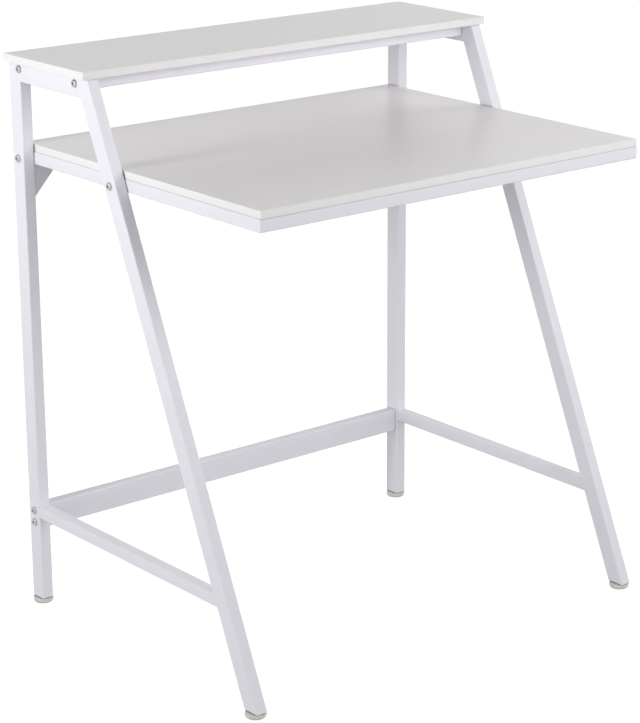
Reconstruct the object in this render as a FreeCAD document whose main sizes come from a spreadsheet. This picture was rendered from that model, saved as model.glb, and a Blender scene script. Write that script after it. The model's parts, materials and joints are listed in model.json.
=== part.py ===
import FreeCAD, Part
import math
import os
import re
import Sketcher

# Office desk on two welded side frames. A tube frame between them carries the desk board, two cross
# rails carry a narrower shelf above its rear part, a stretcher joins the rear legs, and each leg
# stands on a foot that screws in and out of its end.
# Lengths are in millimetres. X runs to the right, Y to the back and Z up. The origin is on the
# floor, in the middle of the footprint.

SIZES = {
    # Side frames: a vertical rear leg, a leaning front leg, a top rail and a low stretcher, one tube
    # thick. Reaches are measured forward from the rear legs' rear faces, heights from the legs' ends.
    "frame_span": 792,
    "frame_height": 891,
    "leg_width": 20,
    "leg_depth": 30,
    "tube_wall": 1.2,
    "tube_corner": 2,
    "top_reach": 215,
    "foot_reach": 606.7,
    "top_rail_height": 30,
    "side_stretcher_top": 162,
    "side_stretcher_height": 20,
    # Stretcher between the rear legs
    "rear_stretcher_top": 162,
    "rear_stretcher_height": 40,
    "rear_stretcher_depth": 20,
    # Shelf board and its two cross rails
    "shelf_board_thickness": 12,
    "shelf_board_depth": 220,
    "shelf_side_overhang": 8,
    "shelf_rear_overhang": 3,
    "shelf_rail_height": 20,
    "shelf_rail_depth": 20,
    "shelf_rear_rail_reach": 28.5,
    "shelf_front_rail_reach": 182,
    "shelf_screw_inset": 50,
    # Desk board and the frame of four rails under it; the bay is the height from desk top to shelf
    "shelf_bay_height": 130,
    "desk_board_thickness": 12,
    "desk_board_reach": 605,
    "desk_board_rear_gap": 2,
    "desk_board_side_gap": 1.5,
    "desk_rail_height": 20,
    "desk_rail_width": 20,
    "desk_rail_front_gap": 0.5,
    "desk_rail_rear_gap": 2.5,
    "desk_screw_inset": 92,
    # Corner plates under the rear of the desk frame
    "gusset_width": 58,
    "gusset_height": 63,
    "gusset_thickness": 3,
    # Edge bands of both boards
    "band_thickness": 1,
    "band_round": 0.5,
    # Button-head bolts and what they screw into
    "bolt_diameter": 6,
    "bolt_length": 30,
    "bolt_point": 0.8,
    "bolt_head_diameter": 12,
    "bolt_head_height": 3.3,
    "bolt_head_rim": 0.8,
    "bolt_socket_width": 4,
    "bolt_socket_depth": 2,
    "bolt_clearance": 0.5,
    "stretcher_bolt_spacing": 20,
    "thread_clearance": 0.1,
    "insert_length": 8,
    "insert_gap": 0.1,
    "weld_nut_width": 10,
    "weld_nut_height": 5,
    # Pan-head screws that hold the boards down
    "screw_diameter": 4,
    "screw_length": 29,
    "screw_point": 1.5,
    "screw_head_diameter": 8,
    "screw_head_height": 1.7,
    "screw_head_rim": 0.6,
    "screw_cross_length": 4.4,
    "screw_cross_width": 1,
    "screw_cross_depth": 1.2,
    "screw_clearance": 0.5,
    "pilot_gap": 0.5,
    # Feet: a round pad turns on a stud, and the stud screws into a nut in the leg's plug
    "pad_diameter": 33,
    "pad_height": 8.8,
    "pad_floor_round": 4.5,
    "pad_top_round": 1.2,
    "stud_diameter": 6,
    "stud_length": 20,
    "stud_point": 0.8,
    "stud_hex_width": 10,
    "stud_hex_height": 1.2,
    "stud_pivot_depth": 5,
    "stud_pivot_gap": 0.3,
    "plug_height": 11,
    "plug_gap": 0.1,
    "foot_nut_width": 10,
    "foot_nut_height": 5,
    "foot_nut_gap": 0.1,
    # Cuts run past the faces they open by this much
    "overrun": 5,
}

# Places worked out from the sizes
PLACES = {
    "lean": "(foot_reach - top_reach) / frame_height",
    "slant_stretch": "sqrt(1 + lean ^ 2)",
    "front_leg_run": "leg_depth * slant_stretch",
    "wall_run": "tube_wall * slant_stretch",
    "top_rail_bottom": "frame_height - top_rail_height",
    "side_stretcher_bottom": "side_stretcher_top - side_stretcher_height",
    "rear_stretcher_middle": "rear_stretcher_top - rear_stretcher_height / 2",
    "foot_height": "pad_height + stud_hex_height",
    "rear_foot_reach": "leg_depth / 2",
    "front_foot_reach": "foot_reach - front_leg_run / 2",
    "front_end": "max(max(foot_reach; desk_board_reach); front_foot_reach + pad_diameter / 2)",
    "rear_end": "min(-shelf_rear_overhang; rear_foot_reach - pad_diameter / 2)",
    "rear_face": "(front_end + rear_end) / 2",
    "frame_middle": "(frame_span - leg_width) / 2",
    "inner_face": "frame_span / 2 - leg_width",
    "desk_top_height": "frame_height - shelf_bay_height",
    "desk_rail_top": "desk_top_height - desk_board_thickness",
    "desk_rail_middle": "desk_rail_top - desk_rail_height / 2",
    "desk_rail_bottom": "desk_rail_top - desk_rail_height",
    "desk_rail_front": "desk_board_reach - desk_rail_front_gap",
    "shelf_rail_middle": "frame_height - shelf_rail_height / 2",
    "rear_bolt_reach": "leg_depth / 2",
    "front_bolt_reach": "foot_reach - lean * desk_rail_middle - front_leg_run / 2",
    "bolt_hole": "bolt_diameter + bolt_clearance",
    "bolt_thread": "bolt_diameter + thread_clearance",
    "screw_hole": "screw_diameter + screw_clearance",
    "screw_thread": "screw_diameter + thread_clearance",
    "shelf_screw_side": "frame_span / 2 - shelf_screw_inset",
    "desk_screw_side": "frame_span / 2 - desk_screw_inset",
    "desk_rear_screw_reach": "desk_rail_rear_gap + desk_rail_width / 2",
    "desk_front_screw_reach": "desk_rail_front - desk_rail_width / 2",
}

SIDES = {"left": -1, "right": 1}
UNIT = 1.0
TOLERANCE = 1e-6
TUBE_SIDES = 4
# How a sketch numbers its origin, and the points of a line and a circle
ORIGIN = (-1, 1)
START = 1
END = 2
CENTRE = 3

doc = FreeCAD.newDocument("Desk")
sheet = doc.addObject("Spreadsheet::Sheet", "Sizes")
for row, (size_name, value) in enumerate(SIZES.items(), 1):
    sheet.set(f"A{row}", size_name)
    sheet.set(f"B{row}", str(value))
    sheet.setAlias(f"B{row}", size_name)
doc.recompute()

sub_parts = []


def expand(expression):
    """The expression with each place written out and each size read from the sheet."""

    def swap(match):
        word = match.group(0)
        if word in PLACES:
            return "(" + expand(PLACES[word]) + ")"
        if word in SIZES:
            return "Sizes." + word
        return word

    return re.sub("[a-z_]+", swap, expression)


def bind(thing, name, expression):
    thing.setExpression(name, expand(expression))


def leg_front(height):
    """Reach of the leaning leg's front face at a height."""
    return f"(foot_reach - lean * ({height}))"


def leg_rear(height):
    """Reach of the leaning leg's rear face at a height."""
    return f"({leg_front(height)} - front_leg_run)"


def new_body(name, x, y, z):
    """An empty sub-part placed from the middle of the rear legs' rear faces, at the legs' ends."""
    body = doc.addObject("PartDesign::Body", name)
    body.Label = name
    bind(body, "Placement.Base.x", x)
    bind(body, "Placement.Base.y", f"rear_face + ({y})")
    bind(body, "Placement.Base.z", f"foot_height + ({z})")
    sub_parts.append(body)
    return body


def origin_feature(body, role):
    return [feature for feature in body.Origin.OriginFeatures if feature.Role == role][0]


def new_sketch(body, name, plane, lift):
    """An empty sketch on one of the body's own planes, moved along the plane's normal by lift."""
    sketch = body.newObject("Sketcher::SketchObject", name)
    sketch.AttachmentSupport = [(origin_feature(body, plane), "")]
    sketch.MapMode = "FlatFace"
    bind(sketch, "AttachmentOffset.Base.z", lift)
    return sketch


def hold_point(sketch, geometry, point, place):
    """Hold one point of the sketch at a place given by two sizes."""
    for direction, expression in zip(("DistanceX", "DistanceY"), place):
        held = sketch.addConstraint(Sketcher.Constraint(direction, *ORIGIN, geometry, point, UNIT))
        bind(sketch, f"Constraints[{held}]", expression)


def outline(body, name, plane, corners, lift="0"):
    """A closed sketch of straight lines through the corners."""
    sketch = new_sketch(body, name, plane, lift)
    turns = [2 * math.pi * corner / len(corners) for corner in range(len(corners))]
    points = [FreeCAD.Vector(UNIT * math.cos(turn), UNIT * math.sin(turn), 0) for turn in turns]
    lines = list(range(len(corners)))
    following = lines[1:] + lines[:1]
    for line, after in zip(lines, following):
        sketch.addGeometry(Part.LineSegment(points[line], points[after]), False)
    for line, after in zip(lines, following):
        sketch.addConstraint(Sketcher.Constraint("Coincident", line, END, after, START))
    for line, place in zip(lines, corners):
        hold_point(sketch, line, START, place)
    return sketch


def circles(body, name, plane, centres, diameter, lift="0"):
    """A sketch of equal circles."""
    sketch = new_sketch(body, name, plane, lift)
    for index, centre in enumerate(centres):
        circle = Part.Circle(FreeCAD.Vector(index * UNIT, 0, 0), FreeCAD.Vector(0, 0, UNIT), UNIT)
        sketch.addGeometry(circle, False)
        hold_point(sketch, index, CENTRE, centre)
        held = sketch.addConstraint(Sketcher.Constraint("Diameter", index, UNIT))
        bind(sketch, f"Constraints[{held}]", diameter)
    return sketch


def rectangle(low_x, high_x, low_y, high_y):
    return [(low_x, low_y), (high_x, low_y), (high_x, high_y), (low_x, high_y)]


def hexagon(width):
    """Corners of a hexagon by its width over flats, two of them on the first axis."""
    tip = f"{width} / sqrt(3)"
    half_tip = f"{width} / (2 * sqrt(3))"
    flat = f"{width} / 2"
    return [
        (tip, "0"),
        (half_tip, flat),
        (f"-({half_tip})", flat),
        (f"-({tip})", "0"),
        (f"-({half_tip})", f"-({flat})"),
        (half_tip, f"-({flat})"),
    ]


def pad(body, sketch, length, symmetric=False, backward=False):
    feature = body.newObject("PartDesign::Pad", sketch.Name + "_pad")
    feature.Profile = sketch
    bind(feature, "Length", length)
    feature.Midplane = symmetric
    feature.Reversed = backward
    doc.recompute()


def pocket(body, sketch, length=None, symmetric=False, backward=False):
    """Cut the sketch out, to a length or right through, and make sure that something was cut."""
    before = body.Tip.Shape.Volume
    feature = body.newObject("PartDesign::Pocket", sketch.Name + "_pocket")
    feature.Profile = sketch
    if length is None:
        feature.Type = "ThroughAll"
    else:
        bind(feature, "Length", length)
    feature.Midplane = symmetric
    feature.Reversed = backward
    doc.recompute()
    if feature.Shape.Volume > before - TOLERANCE:
        raise RuntimeError(f"{body.Label}: {sketch.Name} cuts nothing")


def named_edges(body):
    return [(f"Edge{number}", edge) for number, edge in enumerate(body.Tip.Shape.Edges, 1)]


def long_edges(body):
    """The edges that run along a tube."""
    order = sorted(named_edges(body), key=lambda named: named[1].Length)
    return [name for name, edge in order[-TUBE_SIDES:]]


def end_edges(body, axis, end):
    """The edges that lie wholly at the body's lowest or highest X, Y or Z."""
    extreme = getattr(body.Tip.Shape.BoundBox, axis + end)
    found = []
    for name, edge in named_edges(body):
        low = getattr(edge.BoundBox, axis + "Min")
        high = getattr(edge.BoundBox, axis + "Max")
        if abs(low - extreme) < TOLERANCE and abs(high - extreme) < TOLERANCE:
            found.append(name)
    return found


def long_end_edges(body, axis, end):
    """The two longest of the edges at one end of an axis."""
    found = end_edges(body, axis, end)
    return sorted(found, key=lambda name: body.Tip.Shape.getElement(name).Length)[-2:]


def fillet(body, edges, radius):
    base = body.Tip
    feature = body.newObject("PartDesign::Fillet", body.Name + "_fillet")
    feature.Base = (base, edges)
    bind(feature, "Radius", radius)
    doc.recompute()


def chamfer(body, edges, size):
    base = body.Tip
    feature = body.newObject("PartDesign::Chamfer", body.Name + "_chamfer")
    feature.Base = (base, edges)
    bind(feature, "Size", size)
    doc.recompute()


def repeat(body, axis, length, count=2, second_axis=None, second_length="0", second_count=2):
    """Copies of the whole body, in a line or a grid; the lengths run to the last copy."""
    feature = body.newObject("PartDesign::LinearPattern", body.Name + "_pattern")
    feature.TransformMode = "Whole shape"
    feature.Direction = (origin_feature(body, axis), [""])
    bind(feature, "Length", length)
    feature.Occurrences = count
    if second_axis:
        feature.Direction2 = (origin_feature(body, second_axis), [""])
        bind(feature, "Length2", second_length)
        feature.Occurrences2 = second_count
    body.Tip = feature
    doc.recompute()


def tube(body, plane, shape, bore, thickness):
    """A tube, seen from one side as an outline with a bore, with its long edges rounded."""
    pad(body, outline(body, "shape", plane, shape), thickness, symmetric=True)
    fillet(body, long_edges(body), "tube_corner")
    pocket(body, outline(body, "bore", plane, bore), f"{thickness} - 2 * tube_wall", symmetric=True)


def cross_holes(body, name, plane, centres, diameter):
    """Holes through both walls of a tube."""
    pocket(body, circles(body, name, plane, centres, diameter), symmetric=True)


def rear_leg(side):
    """Vertical tube, mitred at its top to meet the top rail."""
    body = new_body(f"{side}_rear_leg", f"{SIDES[side]} * frame_middle", "0", "0")
    shape = [
        ("0", "0"),
        ("-leg_depth", "0"),
        ("-leg_depth", "top_rail_bottom"),
        ("0", "frame_height"),
    ]
    bore = rectangle("tube_wall - leg_depth", "-tube_wall", "-overrun", "frame_height + overrun")
    tube(body, "YZ_Plane", shape, bore, "leg_width")
    bolts = [
        ("-rear_bolt_reach", "desk_rail_middle"),
        ("-rear_bolt_reach", "rear_stretcher_middle + stretcher_bolt_spacing / 2"),
        ("-rear_bolt_reach", "rear_stretcher_middle - stretcher_bolt_spacing / 2"),
    ]
    cross_holes(body, "bolt_holes", "YZ_Plane", bolts, "bolt_hole")


def front_leg(side):
    """Leaning tube with level ends, mitred at its top to meet the top rail."""
    body = new_body(f"{side}_front_leg", f"{SIDES[side]} * frame_middle", "0", "0")
    shape = [
        ("-foot_reach", "0"),
        ("front_leg_run - foot_reach", "0"),
        ("-" + leg_rear("top_rail_bottom"), "top_rail_bottom"),
        ("-top_reach", "frame_height"),
    ]
    below = "-overrun"
    above = "frame_height + overrun"
    bore = [
        (f"wall_run - {leg_front(below)}", below),
        (f"-wall_run - {leg_rear(below)}", below),
        (f"-wall_run - {leg_rear(above)}", above),
        (f"wall_run - {leg_front(above)}", above),
    ]
    tube(body, "YZ_Plane", shape, bore, "leg_width")
    bolt = [("-front_bolt_reach", "desk_rail_middle")]
    cross_holes(body, "bolt_hole", "YZ_Plane", bolt, "bolt_hole")


def top_rail(side):
    """Level tube between the two mitres, bolted through to the shelf's cross rails."""
    body = new_body(f"{side}_top_rail", f"{SIDES[side]} * frame_middle", "0", "0")
    shape = [
        ("0", "frame_height"),
        ("-top_reach", "frame_height"),
        ("-" + leg_rear("top_rail_bottom"), "top_rail_bottom"),
        ("-leg_depth", "top_rail_bottom"),
    ]
    bore = rectangle(
        "-top_reach - overrun", "overrun", "top_rail_bottom + tube_wall", "frame_height - tube_wall"
    )
    tube(body, "YZ_Plane", shape, bore, "leg_width")
    bolts = [
        ("-shelf_rear_rail_reach", "shelf_rail_middle"),
        ("-shelf_front_rail_reach", "shelf_rail_middle"),
    ]
    cross_holes(body, "bolt_holes", "YZ_Plane", bolts, "bolt_hole")


def side_stretcher(side):
    """Low level tube from the rear leg to the leaning leg."""
    body = new_body(f"{side}_side_stretcher", f"{SIDES[side]} * frame_middle", "0", "0")
    shape = [
        ("-leg_depth", "side_stretcher_top"),
        ("-" + leg_rear("side_stretcher_top"), "side_stretcher_top"),
        ("-" + leg_rear("side_stretcher_bottom"), "side_stretcher_bottom"),
        ("-leg_depth", "side_stretcher_bottom"),
    ]
    bore = rectangle(
        "-foot_reach - overrun",
        "overrun",
        "side_stretcher_bottom + tube_wall",
        "side_stretcher_top - tube_wall",
    )
    tube(body, "YZ_Plane", shape, bore, "leg_width")


def rear_stretcher():
    """Level tube between the rear legs, in the middle of their depth."""
    body = new_body("rear_stretcher", "0", "-rear_bolt_reach", "rear_stretcher_middle")
    half_height = "rear_stretcher_height / 2"
    shape = rectangle("-inner_face", "inner_face", f"-{half_height}", half_height)
    bore = rectangle(
        "-inner_face - overrun",
        "inner_face + overrun",
        f"tube_wall - {half_height}",
        f"{half_height} - tube_wall",
    )
    tube(body, "XZ_Plane", shape, bore, "rear_stretcher_depth")


def shelf_rail(name, reach):
    """Square cross rail between the top rails, drilled for the shelf's screws."""
    body = new_body(name, "0", f"-{reach}", "shelf_rail_middle")
    half_height = "shelf_rail_height / 2"
    shape = rectangle("-inner_face", "inner_face", f"-{half_height}", half_height)
    bore = rectangle(
        "-inner_face - overrun",
        "inner_face + overrun",
        f"tube_wall - {half_height}",
        f"{half_height} - tube_wall",
    )
    tube(body, "XZ_Plane", shape, bore, "shelf_rail_depth")
    screws = [("-shelf_screw_side", "0"), ("0", "0"), ("shelf_screw_side", "0")]
    cross_holes(body, "screw_holes", "XY_Plane", screws, "screw_hole")


def desk_cross_rail(end, outer, inward):
    """Front or rear rail of the desk frame, mitred in plan.

    outer is the reach of its outer face, and inward is 1 or -1 as reaches grow or fall inward.
    """
    body = new_body(f"desk_{end}_rail", "0", "0", "desk_rail_middle")
    inner = f"({outer} + {inward} * desk_rail_width)"
    shape = [
        ("-inner_face", f"-{outer}"),
        ("inner_face", f"-{outer}"),
        ("inner_face - desk_rail_width", f"-{inner}"),
        ("desk_rail_width - inner_face", f"-{inner}"),
    ]
    bore = rectangle(
        "-inner_face - overrun",
        "inner_face + overrun",
        f"-{outer} - {inward} * tube_wall",
        f"{inward} * tube_wall - {inner}",
    )
    tube(body, "XY_Plane", shape, bore, "desk_rail_height")
    reach = f"({outer} + {inward} * desk_rail_width / 2)"
    screws = [("-desk_screw_side", f"-{reach}"), ("0", f"-{reach}"), ("desk_screw_side", f"-{reach}")]
    cross_holes(body, "screw_holes", "XY_Plane", screws, "screw_hole")


def desk_side_rail(side):
    """Side rail of the desk frame, mitred in plan, with bolt holes in its outer wall only."""
    body = new_body(f"desk_{side}_rail", "0", "0", "desk_rail_middle")
    sign = SIDES[side]
    outer = f"{sign} * inner_face"
    inner = f"{sign} * (inner_face - desk_rail_width)"
    shape = [
        (outer, "-desk_rail_rear_gap"),
        (outer, "-desk_rail_front"),
        (inner, "desk_rail_width - desk_rail_front"),
        (inner, "-desk_rail_rear_gap - desk_rail_width"),
    ]
    bore = rectangle(
        f"{sign} * (inner_face - tube_wall)",
        f"{sign} * (inner_face - desk_rail_width + tube_wall)",
        "-desk_rail_front - overrun",
        "overrun - desk_rail_rear_gap",
    )
    tube(body, "XY_Plane", shape, bore, "desk_rail_height")
    lift = f"{sign} * (inner_face + overrun)"
    centres = [("-rear_bolt_reach", "0"), ("-front_bolt_reach", "0")]
    holes = circles(body, "bolt_holes", "YZ_Plane", centres, "bolt_hole", lift)
    pocket(body, holes, "overrun + desk_rail_width / 2", backward=side == "left")


def gusset(side):
    """Triangular plate welded under the desk frame's rear corner, against the rear leg."""
    body = new_body(f"{side}_gusset", "0", "-rear_bolt_reach", "desk_rail_bottom")
    sign = SIDES[side]
    shape = [
        (f"{sign} * inner_face", "0"),
        (f"{sign} * (inner_face - gusset_width)", "0"),
        (f"{sign} * inner_face", "-gusset_height"),
    ]
    pad(body, outline(body, "plate", "XZ_Plane", shape), "gusset_thickness", symmetric=True)


def board(name, bottom, half_width, rear, front, thickness, screws, screw_depth):
    """Core board drilled from below, with an edge band on each of its four sides."""
    core = new_body(f"{name}_board", "0", "0", bottom)
    core_shape = rectangle(
        f"band_thickness - ({half_width})",
        f"{half_width} - band_thickness",
        f"band_thickness - ({front})",
        f"-({rear}) - band_thickness",
    )
    pad(core, outline(core, "core", "XY_Plane", core_shape), thickness)
    pilots = circles(core, "pilot_holes", "XY_Plane", screws, "screw_thread")
    pocket(core, pilots, screw_depth, backward=True)

    left, right = f"-({half_width})", half_width
    bands = {
        "front": (left, right, f"-({front})", f"band_thickness - ({front})", "Y", "Min"),
        "rear": (left, right, f"-({rear}) - band_thickness", f"-({rear})", "Y", "Max"),
    }
    long_ends = (f"band_thickness - ({front})", f"-({rear}) - band_thickness")
    bands["left"] = (left, f"band_thickness + {left}", *long_ends, "X", "Min")
    bands["right"] = (f"{right} - band_thickness", right, *long_ends, "X", "Max")
    for edge, (low_x, high_x, low_y, high_y, axis, end) in bands.items():
        band = new_body(f"{name}_{edge}_band", "0", "0", bottom)
        strip = outline(band, "strip", "XY_Plane", rectangle(low_x, high_x, low_y, high_y))
        pad(band, strip, thickness)
        fillet(band, long_end_edges(band, axis, end), "band_round")


def shelf_board():
    """Shelf board, which reaches a little past the side frames all round."""
    places = [
        (x, f"-{reach}")
        for x in ("-shelf_screw_side", "0", "shelf_screw_side")
        for reach in ("shelf_rear_rail_reach", "shelf_front_rail_reach")
    ]
    board(
        "shelf",
        "frame_height",
        "frame_span / 2 + shelf_side_overhang",
        "-shelf_rear_overhang",
        "shelf_board_depth - shelf_rear_overhang",
        "shelf_board_thickness",
        places,
        "screw_length - shelf_rail_height + pilot_gap",
    )


def desk_board():
    """Desk board, between the legs."""
    places = [
        (x, f"-{reach}")
        for x in ("-desk_screw_side", "0", "desk_screw_side")
        for reach in ("desk_rear_screw_reach", "desk_front_screw_reach")
    ]
    board(
        "desk",
        "desk_rail_top",
        "inner_face - desk_board_side_gap",
        "desk_board_rear_gap",
        "desk_board_reach",
        "desk_board_thickness",
        places,
        "screw_length - desk_rail_height + pilot_gap",
    )


def bolts(side, name, reach, height, axis, spacing):
    """Two bolts from the side: a domed head with a hexagon socket on the leg's outer face."""
    sign = SIDES[side]
    body = new_body(f"{side}_{name}_bolts", f"{sign} * frame_span / 2", f"-({reach})", height)
    outward = side == "right"
    centre = [("0", "0")]
    head = circles(body, "head", "YZ_Plane", centre, "bolt_head_diameter")
    pad(body, head, "bolt_head_height", backward=not outward)
    outer_end, inner_end = ("Max", "Min") if outward else ("Min", "Max")
    fillet(body, end_edges(body, "X", outer_end), "bolt_head_height - bolt_head_rim")
    shank = circles(body, "shank", "YZ_Plane", centre, "bolt_diameter")
    pad(body, shank, "bolt_length", backward=outward)
    chamfer(body, end_edges(body, "X", inner_end), "bolt_point")
    face = f"{sign} * bolt_head_height"
    socket = outline(body, "socket", "YZ_Plane", hexagon("bolt_socket_width"), face)
    pocket(body, socket, "bolt_socket_depth", backward=not outward)
    repeat(body, axis, spacing)


def end_inserts(name, reach, height, width, tall, threads, second_length=None):
    """Threaded blocks welded into both ends of a cross rail, flush with its ends."""
    body = new_body(name, "-inner_face", f"-({reach})", height)
    half_width = f"({width} / 2 - tube_wall - insert_gap)"
    half_height = f"({tall} / 2 - tube_wall - insert_gap)"
    face = rectangle(f"-{half_width}", half_width, f"-{half_height}", half_height)
    pad(body, outline(body, "block", "YZ_Plane", face), "insert_length")
    threaded = circles(body, "threads", "YZ_Plane", threads, "bolt_thread")
    pocket(body, threaded, symmetric=True)
    span = "2 * inner_face - insert_length"
    if second_length:
        repeat(body, "X_Axis", span, second_axis="Y_Axis", second_length=second_length)
    else:
        repeat(body, "X_Axis", span)


def desk_weld_nuts():
    """Nuts welded inside the desk side rails' outer walls, one for each desk bolt."""
    left_end = "-(inner_face - tube_wall)"
    body = new_body("desk_weld_nuts", left_end, "-front_bolt_reach", "desk_rail_middle")
    shape = outline(body, "nut", "YZ_Plane", hexagon("weld_nut_width"))
    pad(body, shape, "weld_nut_height")
    thread = circles(body, "thread", "YZ_Plane", [("0", "0")], "bolt_thread")
    pocket(body, thread, symmetric=True)
    repeat(
        body,
        "X_Axis",
        "2 * (inner_face - tube_wall) - weld_nut_height",
        second_axis="Y_Axis",
        second_length="front_bolt_reach - rear_bolt_reach",
    )


def board_screws(name, side_place, front_reach, rear_reach, bottom):
    """Six screws with cross recesses, up through the rails into the board."""
    body = new_body(name, f"-{side_place}", f"-({front_reach})", bottom)
    centre = [("0", "0")]
    head = circles(body, "head", "XY_Plane", centre, "screw_head_diameter")
    pad(body, head, "screw_head_height", backward=True)
    fillet(body, end_edges(body, "Z", "Min"), "screw_head_height - screw_head_rim")
    shank = circles(body, "shank", "XY_Plane", centre, "screw_diameter")
    pad(body, shank, "screw_length")
    chamfer(body, end_edges(body, "Z", "Max"), "screw_point")
    arm, half = "screw_cross_length / 2", "screw_cross_width / 2"
    cross = [
        (arm, f"-{half}"),
        (arm, half),
        (half, half),
        (half, arm),
        (f"-{half}", arm),
        (f"-{half}", half),
        (f"-{arm}", half),
        (f"-{arm}", f"-{half}"),
        (f"-{half}", f"-{half}"),
        (f"-{half}", f"-{arm}"),
        (half, f"-{arm}"),
        (half, f"-{half}"),
    ]
    recess = outline(body, "recess", "XY_Plane", cross, "-screw_head_height")
    pocket(body, recess, "screw_cross_depth", backward=True)
    repeat(
        body,
        "X_Axis",
        f"2 * {side_place}",
        3,
        second_axis="Y_Axis",
        second_length=f"{front_reach} - {rear_reach}",
    )


def foot_pad(corner, x, reach):
    """Round plastic pad with a blind hole for the stud's pivot."""
    body = new_body(f"{corner}_foot_pad", x, f"-{reach}", "-foot_height")
    centre = [("0", "0")]
    pad(body, circles(body, "disc", "XY_Plane", centre, "pad_diameter"), "pad_height")
    fillet(body, end_edges(body, "Z", "Min"), "pad_floor_round")
    fillet(body, end_edges(body, "Z", "Max"), "pad_top_round")
    width = "stud_diameter + thread_clearance"
    hole = circles(body, "pivot_hole", "XY_Plane", centre, width, "pad_height")
    pocket(body, hole, "stud_pivot_depth + stud_pivot_gap")


def foot_stud(corner, x, reach):
    """Threaded stud with a hexagon that rests on the pad and stops against the leg's plug."""
    body = new_body(f"{corner}_foot_stud", x, f"-{reach}", "-stud_hex_height")
    centre = [("0", "0")]
    collar = outline(body, "hexagon", "XY_Plane", hexagon("stud_hex_width"))
    pad(body, collar, "stud_hex_height")
    pivot = circles(body, "pivot", "XY_Plane", centre, "stud_diameter")
    pad(body, pivot, "stud_pivot_depth", backward=True)
    shank = circles(body, "shank", "XY_Plane", centre, "stud_diameter", "stud_hex_height")
    pad(body, shank, "stud_length")
    chamfer(body, end_edges(body, "Z", "Max"), "stud_point")


def leg_plug(corner, x, reach, depth_run, wall, drift):
    """Plug in the leg's end, drilled for the stud and recessed at its top for the nut.

    depth_run and wall are the leg's section along Y, and drift is how far the leg leans over the
    plug's height.
    """
    body = new_body(f"{corner}_leg_plug", x, f"-{reach}", "0")
    half = f"({depth_run} / 2 - {wall} - plug_gap)"
    shape = [
        (f"-{half}", "0"),
        (half, "0"),
        (f"{half} + {drift}", "plug_height"),
        (f"{drift} - {half}", "plug_height"),
    ]
    width = "leg_width - 2 * tube_wall - 2 * plug_gap"
    pad(body, outline(body, "block", "YZ_Plane", shape), width, symmetric=True)
    bore = circles(body, "stud_hole", "XY_Plane", [("0", "0")], "stud_diameter + bolt_clearance")
    pocket(body, bore, symmetric=True)
    seat = "plug_height - foot_nut_height"
    recess = hexagon("(foot_nut_width + 2 * foot_nut_gap)")
    nut_seat = outline(body, "nut_seat", "XY_Plane", recess, seat)
    pocket(body, nut_seat, "foot_nut_height + overrun", backward=True)


def foot_nuts():
    """Nuts that lie in the four plugs, flush with their tops."""
    body = new_body(
        "foot_nuts", "-frame_middle", "-front_foot_reach", "plug_height - foot_nut_height"
    )
    pad(body, outline(body, "nut", "XY_Plane", hexagon("foot_nut_width")), "foot_nut_height")
    width = "stud_diameter + thread_clearance"
    pocket(body, circles(body, "thread", "XY_Plane", [("0", "0")], width), symmetric=True)
    repeat(
        body,
        "X_Axis",
        "2 * frame_middle",
        second_axis="Y_Axis",
        second_length="front_foot_reach - rear_foot_reach",
    )


for side in SIDES:
    rear_leg(side)
    front_leg(side)
    top_rail(side)
    side_stretcher(side)
    desk_side_rail(side)
    gusset(side)
    bolts(
        side,
        "shelf",
        "shelf_front_rail_reach",
        "shelf_rail_middle",
        "Y_Axis",
        "shelf_front_rail_reach - shelf_rear_rail_reach",
    )
    bolts(
        side,
        "desk",
        "front_bolt_reach",
        "desk_rail_middle",
        "Y_Axis",
        "front_bolt_reach - rear_bolt_reach",
    )
    bolts(
        side,
        "stretcher",
        "rear_bolt_reach",
        "rear_stretcher_middle - stretcher_bolt_spacing / 2",
        "Z_Axis",
        "stretcher_bolt_spacing",
    )

rear_stretcher()
shelf_rail("shelf_rear_rail", "shelf_rear_rail_reach")
shelf_rail("shelf_front_rail", "shelf_front_rail_reach")
desk_cross_rail("front", "desk_rail_front", -1)
desk_cross_rail("rear", "desk_rail_rear_gap", 1)
shelf_board()
desk_board()
end_inserts(
    "shelf_rail_inserts",
    "shelf_front_rail_reach",
    "shelf_rail_middle",
    "shelf_rail_depth",
    "shelf_rail_height",
    [("0", "0")],
    "shelf_front_rail_reach - shelf_rear_rail_reach",
)
end_inserts(
    "stretcher_inserts",
    "rear_bolt_reach",
    "rear_stretcher_middle",
    "rear_stretcher_depth",
    "rear_stretcher_height",
    [("0", "stretcher_bolt_spacing / 2"), ("0", "-stretcher_bolt_spacing / 2")],
)
desk_weld_nuts()
board_screws(
    "shelf_board_screws",
    "shelf_screw_side",
    "shelf_front_rail_reach",
    "shelf_rear_rail_reach",
    "frame_height - shelf_rail_height",
)
board_screws(
    "desk_board_screws",
    "desk_screw_side",
    "desk_front_screw_reach",
    "desk_rear_screw_reach",
    "desk_rail_bottom",
)

for side, sign in SIDES.items():
    for end, reach, depth_run, wall, drift in (
        ("rear", "rear_foot_reach", "leg_depth", "tube_wall", "0"),
        ("front", "front_foot_reach", "front_leg_run", "wall_run", "lean * plug_height"),
    ):
        corner = f"{side}_{end}"
        middle = f"{sign} * frame_middle"
        foot_pad(corner, middle, reach)
        foot_stud(corner, middle, reach)
        leg_plug(corner, middle, reach, depth_run, wall, drift)
foot_nuts()

doc.recompute()
for thing in doc.Objects:
    if "Invalid" in thing.State or "Error" in thing.State:
        raise RuntimeError(f"{thing.Label} failed: {thing.State}")
for body in sub_parts:
    if body.Shape.isNull() or not body.Shape.isValid() or not body.Shape.Solids:
        raise RuntimeError(f"{body.Label} has no valid solid")

os.makedirs("parts", exist_ok=True)
for body in sub_parts:
    body.Shape.exportStep(f"parts/{body.Label}.step")
print(len(sub_parts), "sub-parts written")
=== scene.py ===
import json
import math

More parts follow.
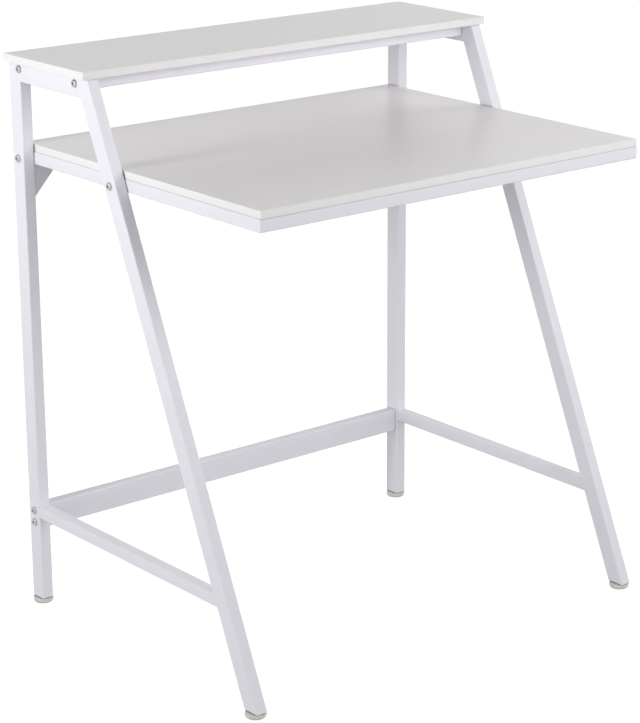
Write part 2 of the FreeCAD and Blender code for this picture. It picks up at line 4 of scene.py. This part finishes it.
import bmesh
import bpy
from mathutils import Euler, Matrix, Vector


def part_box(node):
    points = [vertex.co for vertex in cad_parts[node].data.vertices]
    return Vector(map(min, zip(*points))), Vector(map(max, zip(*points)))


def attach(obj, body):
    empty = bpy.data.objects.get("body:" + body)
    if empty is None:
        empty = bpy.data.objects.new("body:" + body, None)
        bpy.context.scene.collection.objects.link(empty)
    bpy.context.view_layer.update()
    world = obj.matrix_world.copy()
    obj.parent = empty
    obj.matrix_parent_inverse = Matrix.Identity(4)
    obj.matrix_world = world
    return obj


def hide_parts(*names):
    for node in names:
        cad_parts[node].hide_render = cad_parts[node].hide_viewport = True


# The looks of the office desk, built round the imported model. Lengths are in metres.

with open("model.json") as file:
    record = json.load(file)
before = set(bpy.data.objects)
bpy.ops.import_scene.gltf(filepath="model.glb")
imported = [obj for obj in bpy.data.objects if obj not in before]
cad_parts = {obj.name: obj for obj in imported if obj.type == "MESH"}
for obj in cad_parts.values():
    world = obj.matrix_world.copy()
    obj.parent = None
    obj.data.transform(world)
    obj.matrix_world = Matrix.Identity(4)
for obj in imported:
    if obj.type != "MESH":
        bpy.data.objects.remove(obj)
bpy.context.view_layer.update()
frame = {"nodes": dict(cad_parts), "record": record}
nodes = frame["nodes"]

MM = 0.001

# Camera, at the photograph's place
PHOTO_LONG_SIDE = 723
SENSOR_WIDTH = 36.0
FOCAL_PIXELS = 2380.4
CAMERA_PLACE = (-2.3344, -2.84845, 1.5539)
CAMERA_TURN_DEGREES = (71.91, -0.105, -40.47)
CAMERA_SHIFT = (-0.0809, 0.0446)

# Light: five soft panels and a sky that is brightest at the horizon. The small panel low at the left
# draws the front leg's soft shadow across the desk.
PANELS = {
    "left_panel": {"place": (-1.5, 0.1, 1.5), "aim": (-0.4, 0.0, 0.8), "size": 0.8, "power": 1.0},
    "low_left_panel": {"place": (-1.5, 0.15, 1.05), "aim": (-0.4, 0.0, 0.8), "size": 0.25, "power": 6.0},
    "front_panel": {"place": (0.5, -1.5, 1.5), "aim": (0.1, -0.1, 0.75), "size": 0.8, "power": 7.1},
    "low_front_panel": {"place": (1.0, -1.2, 1.15), "aim": (0.2, 0.0, 0.75), "size": 0.7, "power": 1.0},
    "right_panel": {"place": (2.4, 0.3, 2.0), "aim": (0.1, 0.0, 0.6), "size": 1.6, "power": 17.2},
}
HORIZON_STRENGTH = 2.28
HORIZON_POWER = 2.0
BACKGROUND_STRENGTH = 1.0

# Floor: a wide disc whose lit part shows white and which keeps the desk's shadow
FLOOR_RADIUS = 30.0
FLOOR_DROP = 0.02 * MM
FLOOR_SIDES = 64
FLOOR_BOUNCE = 0.4
FLOOR_SHOWN = 0.3
FLOOR_GLOW = 0.94

# Finishes, as linear colours
STEEL_PAINT = (0.82, 0.805, 0.865)
BOARD_FACE = (0.838, 0.812, 0.82)
EDGE_BAND = (0.848, 0.838, 0.835)
ZINC = (0.46, 0.46, 0.465)
PAD_PLASTIC = (0.7, 0.68, 0.64)
PLUG_PLASTIC = (0.03, 0.03, 0.03)

# Grain of the finishes: noise scales per metre, shares of tint, ranges of roughness and heights of relief
PAINT_CLOUD = 18.0
PAINT_PEEL = 900.0
PAINT_WAVE = 60.0
PAINT_TINT = 0.015
PAINT_ROUGHNESS = (0.36, 0.5)
PEEL_HEIGHT = 0.03 * MM
WAVE_HEIGHT = 0.15 * MM
BOARD_CLOUD = 9.0
BOARD_FIBRE = 260.0
BOARD_PORES = 1400.0
BOARD_TINT = 0.008
BOARD_ROUGHNESS = (0.28, 0.33)
FIBRE_STRETCH = (0.12, 1.0, 1.0)
FIBRE_SHARE = 0.5
PORE_HEIGHT = 0.006 * MM
BAND_CLOUD = 30.0
BAND_DRAWN = 500.0
BAND_TINT = 0.015
BAND_ROUGHNESS = (0.38, 0.5)
BAND_HEIGHT = 0.02 * MM
DRAWN_STRETCH = (0.08, 0.08, 1.0)
ZINC_BLOTCH = 350.0
ZINC_GRAIN = 3000.0
ZINC_TINT = 0.08
ZINC_ROUGHNESS = (0.42, 0.58)
ZINC_HEIGHT = 0.01 * MM
SKIN_GRAIN = 1600.0
SKIN_CLOUD = 90.0
SKIN_TINT = 0.03
SKIN_HEIGHT = 0.02 * MM
PAD_ROUGHNESS = (0.42, 0.6)
PLUG_ROUGHNESS = (0.4, 0.6)
PLAIN_DETAIL = 1.0
FINE_DETAIL = 2.0
USUAL_DETAIL = 3.0
RICH_DETAIL = 4.0

# Painted shade in gaps and inner corners: how far it darkens a finish, and what share of its colour is
# left in them
CREVICE_SHADE_REACH = 3.0 * MM
CREVICE_SHADE_TONE = 0.35
CREVICE_SHADE_SAMPLES = 8

# Threaded studs
STUD_RADIUS = 3.0 * MM
STUD_POINT = 0.8 * MM
STUD_SIDES = 24
THREAD_PITCH = 1.0 * MM
THREAD_DEPTH = 0.6 * MM
THREAD_ROWS = 8
CREST_SHARE = 0.15
ROOT_SHARE = 0.2
PIVOT_DEPTH = 5.0 * MM
COLLAR_HEIGHT = 1.2 * MM
COLLAR_WIDTH = 10.0 * MM
COLLAR_BEVEL = 0.25 * MM
COLLAR_SIDES = 6

# Weld beads
TUBE_BEAD = 2.0 * MM
PLATE_BEAD = 1.5 * MM
BEAD_STEP = 0.7 * MM
BEAD_SINK = 0.3 * MM
BEAD_POINTS = 6
BEAD_INSET = 1.5 * MM
BEAD_END_SHARE = 0.45
BEAD_TAPER = 4.0
BEAD_SWELL = 0.12
BEAD_RIPPLE = 0.05
RIPPLE_STEPS = 3

# Welds ground flush, in the grooves between a stretcher's square end and a leg's rounded edges
TUBE_CORNER = 2.0 * MM
FLUSH_RISE = 0.03 * MM
FLUSH_LAP = 0.3 * MM
FLUSH_SINK = 0.1 * MM
FLUSH_INSET = 0.8 * MM
SMOOTH_DEGREES = 35


def new_material(name):
    """A material with its shader, a coordinate node in metres and the tools to link them."""
    material = bpy.data.materials.new(name)
    material.use_nodes = True
    tree = material.node_tree
    shader = tree.nodes["Principled BSDF"]
    place = tree.nodes.new("ShaderNodeTexCoord").outputs["Object"]
    return material, tree, shader, place


def noise(tree, place, scale, detail=USUAL_DETAIL, stretch=(1.0, 1.0, 1.0)):
    """Noise of a scale per metre, stretched along the axes."""
    mapping = tree.nodes.new("ShaderNodeMapping")
    mapping.inputs["Scale"].default_value = stretch
    tree.links.new(place, mapping.inputs["Vector"])
    texture = tree.nodes.new("ShaderNodeTexNoise")
    texture.inputs["Scale"].default_value = scale
    texture.inputs["Detail"].default_value = detail
    tree.links.new(mapping.outputs["Vector"], texture.inputs["Vector"])
    return texture.outputs["Fac"]


def spread(tree, value, low, high):
    """A value from 0 to 1 spread over a range."""
    remap = tree.nodes.new("ShaderNodeMapRange")
    remap.inputs["To Min"].default_value = low
    remap.inputs["To Max"].default_value = high
    tree.links.new(value, remap.inputs["Value"])
    return remap.outputs["Result"]


def tint(tree, value, colour, change):
    """The colour, a little darker or lighter with the value."""
    mix = tree.nodes.new("ShaderNodeMix")
    mix.data_type = "RGBA"
    darker = [channel * (1 - change) for channel in colour]
    lighter = [channel * (1 + change) for channel in colour]
    mix.inputs["A"].default_value = (*darker, 1.0)
    mix.inputs["B"].default_value = (*lighter, 1.0)
    tree.links.new(value, mix.inputs["Factor"])
    return mix.outputs["Result"]


def paint_crevice_shade(tree, colour):
    """The colour with painted shade, darker in gaps and inner corners where shade falls."""
    occlusion = tree.nodes.new("ShaderNodeAmbientOcclusion")
    occlusion.samples = CREVICE_SHADE_SAMPLES
    occlusion.inputs["Distance"].default_value = CREVICE_SHADE_REACH
    mix = tree.nodes.new("ShaderNodeMix")
    mix.data_type = "RGBA"
    mix.blend_type = "MULTIPLY"
    mix.inputs["Factor"].default_value = 1.0
    tree.links.new(colour, mix.inputs["A"])
    tree.links.new(spread(tree, occlusion.outputs["AO"], CREVICE_SHADE_TONE, 1.0), mix.inputs["B"])
    return mix.outputs["Result"]


def bump(tree, value, height, before=None):
    """Relief of a height in metres, on top of an earlier relief."""
    node = tree.nodes.new("ShaderNodeBump")
    node.inputs["Strength"].default_value = 1.0
    node.inputs["Distance"].default_value = height
    tree.links.new(value, node.inputs["Height"])
    if before:
        tree.links.new(before, node.inputs["Normal"])
    return node.outputs["Normal"]


def powder_coat():
    """White powder paint with a fine orange peel."""
    material, tree, shader, place = new_material("frame_paint")
    cloud = noise(tree, place, PAINT_CLOUD)
    peel = noise(tree, place, PAINT_PEEL, FINE_DETAIL)
    wave = noise(tree, place, PAINT_WAVE, PLAIN_DETAIL)
    # Painted shade: the paint is darker in gaps and inner corners
    paint = paint_crevice_shade(tree, tint(tree, cloud, STEEL_PAINT, PAINT_TINT))
    tree.links.new(paint, shader.inputs["Base Color"])
    tree.links.new(spread(tree, peel, *PAINT_ROUGHNESS), shader.inputs["Roughness"])
    relief = bump(tree, peel, PEEL_HEIGHT, bump(tree, wave, WAVE_HEIGHT))
    tree.links.new(relief, shader.inputs["Normal"])
    return material


def melamine():
    """Pale board face: a satin sheet with a faint pearl and fine pores."""
    material, tree, shader, place = new_material("board_face")
    cloud = noise(tree, place, BOARD_CLOUD)
    fibre = noise(tree, place, BOARD_FIBRE, RICH_DETAIL, FIBRE_STRETCH)
    pores = noise(tree, place, BOARD_PORES, FINE_DETAIL)
    mixed = tree.nodes.new("ShaderNodeMath")
    mixed.operation = "ADD"
    tree.links.new(spread(tree, cloud, 0.0, 1.0 - FIBRE_SHARE), mixed.inputs[0])
    tree.links.new(spread(tree, fibre, 0.0, FIBRE_SHARE), mixed.inputs[1])
    face = tint(tree, mixed.outputs["Value"], BOARD_FACE, BOARD_TINT)
    tree.links.new(face, shader.inputs["Base Color"])
    tree.links.new(spread(tree, fibre, *BOARD_ROUGHNESS), shader.inputs["Roughness"])
    tree.links.new(bump(tree, pores, PORE_HEIGHT), shader.inputs["Normal"])
    return material


def edge_band():
    """Plastic edge strip, slightly drawn along its length."""
    material, tree, shader, place = new_material("edge_band")
    drawn = noise(tree, place, BAND_DRAWN, FINE_DETAIL, DRAWN_STRETCH)
    cloud = noise(tree, place, BAND_CLOUD)
    # Painted shade: the strip is darker in gaps and inner corners
    strip = paint_crevice_shade(tree, tint(tree, cloud, EDGE_BAND, BAND_TINT))
    tree.links.new(strip, shader.inputs["Base Color"])
    tree.links.new(spread(tree, drawn, *BAND_ROUGHNESS), shader.inputs["Roughness"])
    tree.links.new(bump(tree, drawn, BAND_HEIGHT), shader.inputs["Normal"])
    return material


def zinc_steel():
    """Zinc plated steel with a soft turned grain."""
    material, tree, shader, place = new_material("zinc_steel")
    shader.inputs["Metallic"].default_value = 1.0
    blotch = noise(tree, place, ZINC_BLOTCH)
    grain = noise(tree, place, ZINC_GRAIN, FINE_DETAIL)
    tree.links.new(tint(tree, blotch, ZINC, ZINC_TINT), shader.inputs["Base Color"])
    tree.links.new(spread(tree, grain, *ZINC_ROUGHNESS), shader.inputs["Roughness"])
    tree.links.new(bump(tree, grain, ZINC_HEIGHT), shader.inputs["Normal"])
    return material


def moulded(name, colour, roughness):
    """Moulded plastic with a fine spark-eroded skin."""
    material, tree, shader, place = new_material(name)
    skin = noise(tree, place, SKIN_GRAIN)
    cloud = noise(tree, place, SKIN_CLOUD)
    # Painted shade: the plastic is darker in gaps and inner corners
    plastic = paint_crevice_shade(tree, tint(tree, cloud, colour, SKIN_TINT))
    tree.links.new(plastic, shader.inputs["Base Color"])
    tree.links.new(spread(tree, skin, *roughness), shader.inputs["Roughness"])
    tree.links.new(bump(tree, skin, SKIN_HEIGHT), shader.inputs["Normal"])
    return material


def dress_nodes():
    """Gives each CAD node the finish of its material slot."""
    finishes = {
        "frame_paint": powder_coat(),
        "board_face": melamine(),
        "edge_band": edge_band(),
        "zinc_steel": zinc_steel(),
        "pad_plastic": moulded("pad_plastic", PAD_PLASTIC, PAD_ROUGHNESS),
        "plug_plastic": moulded("plug_plastic", PLUG_PLASTIC, PLUG_ROUGHNESS),
    }
    for part in frame["record"]["subparts"]:
        mesh = nodes[part["node"]].data
        mesh.materials.clear()
        mesh.materials.append(finishes[part["material_slot"]])
    return finishes


def make_piece(name, points, faces, finish, body):
    """A piece made of points and faces, which rides on a body of the model."""
    mesh = bpy.data.meshes.new(name)
    mesh.from_pydata([tuple(point) for point in points], [], faces)
    work = bmesh.new()
    work.from_mesh(mesh)
    bmesh.ops.recalc_face_normals(work, faces=work.faces)
    work.to_mesh(mesh)
    work.free()
    mesh.shade_smooth()
    mesh.set_sharp_from_angle(angle=math.radians(SMOOTH_DEGREES))
    mesh.materials.append(finish)
    piece = bpy.data.objects.new(name, mesh)
    bpy.context.scene.collection.objects.link(piece)
    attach(piece, body)
    return piece


def prism(rows):
    """Points and faces of a closed skin over rows that hold as many points each."""
    points = [point for row in rows for point in row]
    width = len(rows[0])
    faces = []
    for low in range(0, len(points) - width, width):
        for side in range(width):
            after = (side + 1) % width
            faces.append((low + side, low + after, low + width + after, low + width + side))
    faces.append(tuple(range(width)))
    faces.append(tuple(range(len(points) - width, len(points))))
    return points, faces


def join(shapes):
    """Several shapes' points and faces as one."""
    all_points, all_faces = [], []
    for points, faces in shapes:
        first = len(all_points)
        all_points += points
        all_faces += [tuple(first + corner for corner in face) for face in faces]
    return all_points, all_faces


def ring(centre, height, radii):
    """Points round an upright axis, at a height, with a radius for each."""
    turns = [2 * math.pi * side / len(radii) for side in range(len(radii))]
    return [
        Vector((centre.x + radius * math.cos(turn), centre.y + radius * math.sin(turn), height))
        for turn, radius in zip(turns, radii)
    ]


def groove(turn, height):
    """Depth of a right-hand thread at a share of a turn and a height."""
    phase = (height / THREAD_PITCH - turn) % 1.0
    rise = abs(2.0 * phase - 1.0)
    flank = (rise - CREST_SHARE) / (1.0 - CREST_SHARE - ROOT_SHARE)
    return THREAD_DEPTH * min(1.0, max(0.0, flank))


def threaded_stud(corner, finish):
    """Stud of one foot: a pivot in the pad, a hexagon and a thread with a point."""
    node = f"{corner}_foot_stud"
    low, high = (Vector(end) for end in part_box(node))
    centre = (low + high) / 2
    collar = low.z + PIVOT_DEPTH
    start = collar + COLLAR_HEIGHT
    pivot = prism([ring(centre, height, [STUD_RADIUS] * STUD_SIDES) for height in (low.z, collar)])
    tip = COLLAR_WIDTH / math.sqrt(3)
    steps = (
        (collar, tip - COLLAR_BEVEL),
        (collar + COLLAR_BEVEL, tip),
        (start - COLLAR_BEVEL, tip),
        (start, tip - COLLAR_BEVEL),
    )
    hexagon = prism([ring(centre, height, [radius] * COLLAR_SIDES) for height, radius in steps])
    count = round((high.z - start) / THREAD_PITCH * THREAD_ROWS)
    rows = []
    for row in range(count + 1):
        above = (high.z - start) * row / count
        point = STUD_RADIUS - STUD_POINT + (high.z - start - above)
        radii = [
            min(point, STUD_RADIUS - groove(side / STUD_SIDES, above)) for side in range(STUD_SIDES)
        ]
        rows.append(ring(centre, start + above, radii))
    points, faces = join([pivot, hexagon, prism(rows)])
    piece = make_piece(f"{corner}_threaded_stud", points, faces, finish, f"{corner}_stud")
    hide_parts(node)


def bead(start, end, one_way, other_way, size):
    """A weld bead along an inner corner, between two directions that lie in the corner's faces."""
    count = round((end - start).length / BEAD_STEP)
    rows = []
    for row in range(count + 1):
        share = row / count
        taper = min(1.0, BEAD_END_SHARE + BEAD_TAPER * min(share, 1.0 - share))
        ripple = 1.0 + BEAD_RIPPLE * math.cos(2 * math.pi * row / RIPPLE_STEPS)
        base = start.lerp(end, share)
        points = [base - (one_way + other_way) * BEAD_SINK]
        for step in range(BEAD_POINTS - 1):
            turn = step / (BEAD_POINTS - 2)
            swell = 1.0 + BEAD_SWELL * math.sin(math.pi * turn)
            points.append(base + one_way.lerp(other_way, turn) * size * taper * ripple * swell)
        rows.append(points)
    return prism(rows)


def flush_weld(start, end, onward, inward):
    """A groove's filling, ground flush, from a tube's square end onward over another tube's edge."""
    rows = []
    for place in (start, end):
        outer = place - inward * FLUSH_RISE
        inner = place + inward * FLUSH_SINK
        rows.append([
            inner - onward * FLUSH_LAP,
            outer,
            outer + onward * TUBE_CORNER,
            inner + onward * (TUBE_CORNER + FLUSH_LAP),
            place + inward * TUBE_CORNER,
        ])
    return prism(rows)


def weld_beads(side, finish):
    """Welds between one side frame's tubes and round its corner plate."""
    names = ("rear_leg", "front_leg", "top_rail", "side_stretcher", "gusset")
    boxes = {name: [Vector(end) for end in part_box(f"{side}_{name}")] for name in names}
    leg, front_leg, rail, bar, plate = (boxes[name] for name in names)
    back = Vector((0.0, 1.0, 0.0))
    up = Vector((0.0, 0.0, 1.0))
    inward = Vector((1.0, 0.0, 0.0)) if side == "left" else Vector((-1.0, 0.0, 0.0))
    lean = (rail[0].y - front_leg[0].y) / (front_leg[1].z - front_leg[0].z)
    along_leg = Vector((0.0, lean, 1.0)).normalized()
    forward = Vector((0.0, -1.0, lean)).normalized()
    across = (leg[0].x + BEAD_INSET, leg[1].x - BEAD_INSET)
    beads = []
    for height, way in ((bar[1].z, 1.0), (bar[0].z, -1.0), (rail[0].z, -1.0)):
        ends = [Vector((x, leg[0].y, height)) for x in across]
        beads.append(bead(*ends, -back, up * way, TUBE_BEAD))
        leaning = front_leg[1].y - lean * (rail[0].z - height)
        ends = [Vector((x, leaning, height)) for x in across]
        beads.append(bead(*ends, back, along_leg * way, TUBE_BEAD))
    low, high = (end.z + inset for end, inset in zip(bar, (FLUSH_INSET, -FLUSH_INSET)))
    for x, way in ((leg[0].x, 1.0), (leg[1].x, -1.0)):
        into = Vector((way, 0.0, 0.0))
        ends = [Vector((x, leg[0].y, height)) for height in (low, high)]
        beads.append(flush_weld(*ends, back, into))
        ends = [Vector((x, front_leg[1].y - lean * (rail[0].z - z), z)) for z in (low, high)]
        beads.append(flush_weld(*ends, forward, into))
    edge = plate[0].x if side == "left" else plate[1].x
    corner = Vector((edge, 0.0, plate[1].z))
    for face, way in ((plate[0].y, -back), (plate[1].y, back)):
        top = corner + back * face
        foot = top - up * (plate[1].z - plate[0].z - PLATE_BEAD)
        end = top + inward * (plate[1].x - plate[0].x - PLATE_BEAD)
        beads.append(bead(top, foot, inward, way, PLATE_BEAD))
        beads.append(bead(top, end, -up, way, PLATE_BEAD))
    points, faces = join(beads)
    piece = make_piece(f"{side}_weld_beads", points, faces, finish, "frame")


def seen_directly(tree):
    """1 for rays from the camera and for those that mirrors and glass pass on, otherwise 0."""
    path = tree.nodes.new("ShaderNodeLightPath")
    total = path.outputs["Is Camera Ray"]
    for kind in ("Is Glossy Ray", "Is Transmission Ray"):
        either = tree.nodes.new("ShaderNodeMath")
        either.operation = "MAXIMUM"
        tree.links.new(total, either.inputs[0])
        tree.links.new(path.outputs[kind], either.inputs[1])
        total = either.outputs["Value"]
    return total


def make_sky():
    """Light from all round that is strongest at the horizon, and which shows as white."""
    world = bpy.data.worlds.new("sky")
    bpy.context.scene.world = world
    world.use_nodes = True
    tree = world.node_tree
    background = tree.nodes["Background"]
    background.inputs["Color"].default_value = (1.0, 1.0, 1.0, 1.0)
    split = tree.nodes.new("ShaderNodeSeparateXYZ")
    tree.links.new(tree.nodes.new("ShaderNodeTexCoord").outputs["Generated"], split.inputs["Vector"])
    steep = tree.nodes.new("ShaderNodeMath")
    steep.operation = "ABSOLUTE"
    tree.links.new(split.outputs["Z"], steep.inputs[0])
    level = tree.nodes.new("ShaderNodeMath")
    level.operation = "POWER"
    level.inputs[1].default_value = HORIZON_POWER
    tree.links.new(spread(tree, steep.outputs["Value"], 1.0, 0.0), level.inputs[0])
    choice = tree.nodes.new("ShaderNodeMix")
    tree.links.new(seen_directly(tree), choice.inputs["Factor"])
    tree.links.new(spread(tree, level.outputs["Value"], 0.0, HORIZON_STRENGTH), choice.inputs["A"])
    choice.inputs["B"].default_value = BACKGROUND_STRENGTH
    tree.links.new(choice.outputs["Result"], background.inputs["Strength"])


def make_floor():
    """Wide pale disc that bounces light and keeps the desk's shadow."""
    bpy.ops.mesh.primitive_circle_add(
        vertices=FLOOR_SIDES, radius=FLOOR_RADIUS, fill_type="NGON", location=(0, 0, -FLOOR_DROP)
    )
    floor = bpy.context.object
    floor.name = "floor"
    material = bpy.data.materials.new("floor")
    material.use_nodes = True
    tree = material.node_tree
    tree.nodes.clear()
    bounce = tree.nodes.new("ShaderNodeBsdfDiffuse")
    bounce.inputs["Color"].default_value = (FLOOR_BOUNCE, FLOOR_BOUNCE, FLOOR_BOUNCE, 1.0)
    shown = tree.nodes.new("ShaderNodeBsdfDiffuse")
    shown.inputs["Color"].default_value = (FLOOR_SHOWN, FLOOR_SHOWN, FLOOR_SHOWN, 1.0)
    glow = tree.nodes.new("ShaderNodeEmission")
    glow.inputs["Strength"].default_value = FLOOR_GLOW
    both = tree.nodes.new("ShaderNodeAddShader")
    tree.links.new(shown.outputs["BSDF"], both.inputs[0])
    tree.links.new(glow.outputs["Emission"], both.inputs[1])
    mix = tree.nodes.new("ShaderNodeMixShader")
    tree.links.new(seen_directly(tree), mix.inputs["Fac"])
    tree.links.new(bounce.outputs["BSDF"], mix.inputs[1])
    tree.links.new(both.outputs["Shader"], mix.inputs[2])
    output = tree.nodes.new("ShaderNodeOutputMaterial")
    tree.links.new(mix.outputs["Shader"], output.inputs["Surface"])
    floor.data.materials.append(material)


def make_panel(name, place, aim, size, power):
    """Square soft light that faces a point."""
    light = bpy.data.lights.new(name, "AREA")
    light.size = size
    light.energy = power
    panel = bpy.data.objects.new(name, light)
    panel.location = place
    panel.rotation_euler = (Vector(aim) - Vector(place)).to_track_quat("-Z", "Y").to_euler()
    bpy.context.scene.collection.objects.link(panel)


def make_camera():
    """Camera at the photograph's place, with its lens and framing."""
    camera = bpy.data.cameras.new("camera")
    camera.sensor_width = SENSOR_WIDTH
    camera.lens = FOCAL_PIXELS * SENSOR_WIDTH / PHOTO_LONG_SIDE
    camera.shift_x, camera.shift_y = CAMERA_SHIFT
    viewer = bpy.data.objects.new("camera", camera)
    viewer.location = CAMERA_PLACE
    viewer.rotation_euler = Euler([math.radians(turn) for turn in CAMERA_TURN_DEGREES])
    bpy.context.scene.collection.objects.link(viewer)
    bpy.context.scene.camera = viewer


finishes = dress_nodes()
for side in ("left", "right"):
    weld_beads(side, finishes["frame_paint"])
    for end in ("front", "rear"):
        threaded_stud(f"{side}_{end}", finishes["zinc_steel"])
make_sky()
make_floor()
for name, panel in PANELS.items():
    make_panel(name, **panel)
make_camera()
bpy.context.scene.view_settings.view_transform = "Standard"
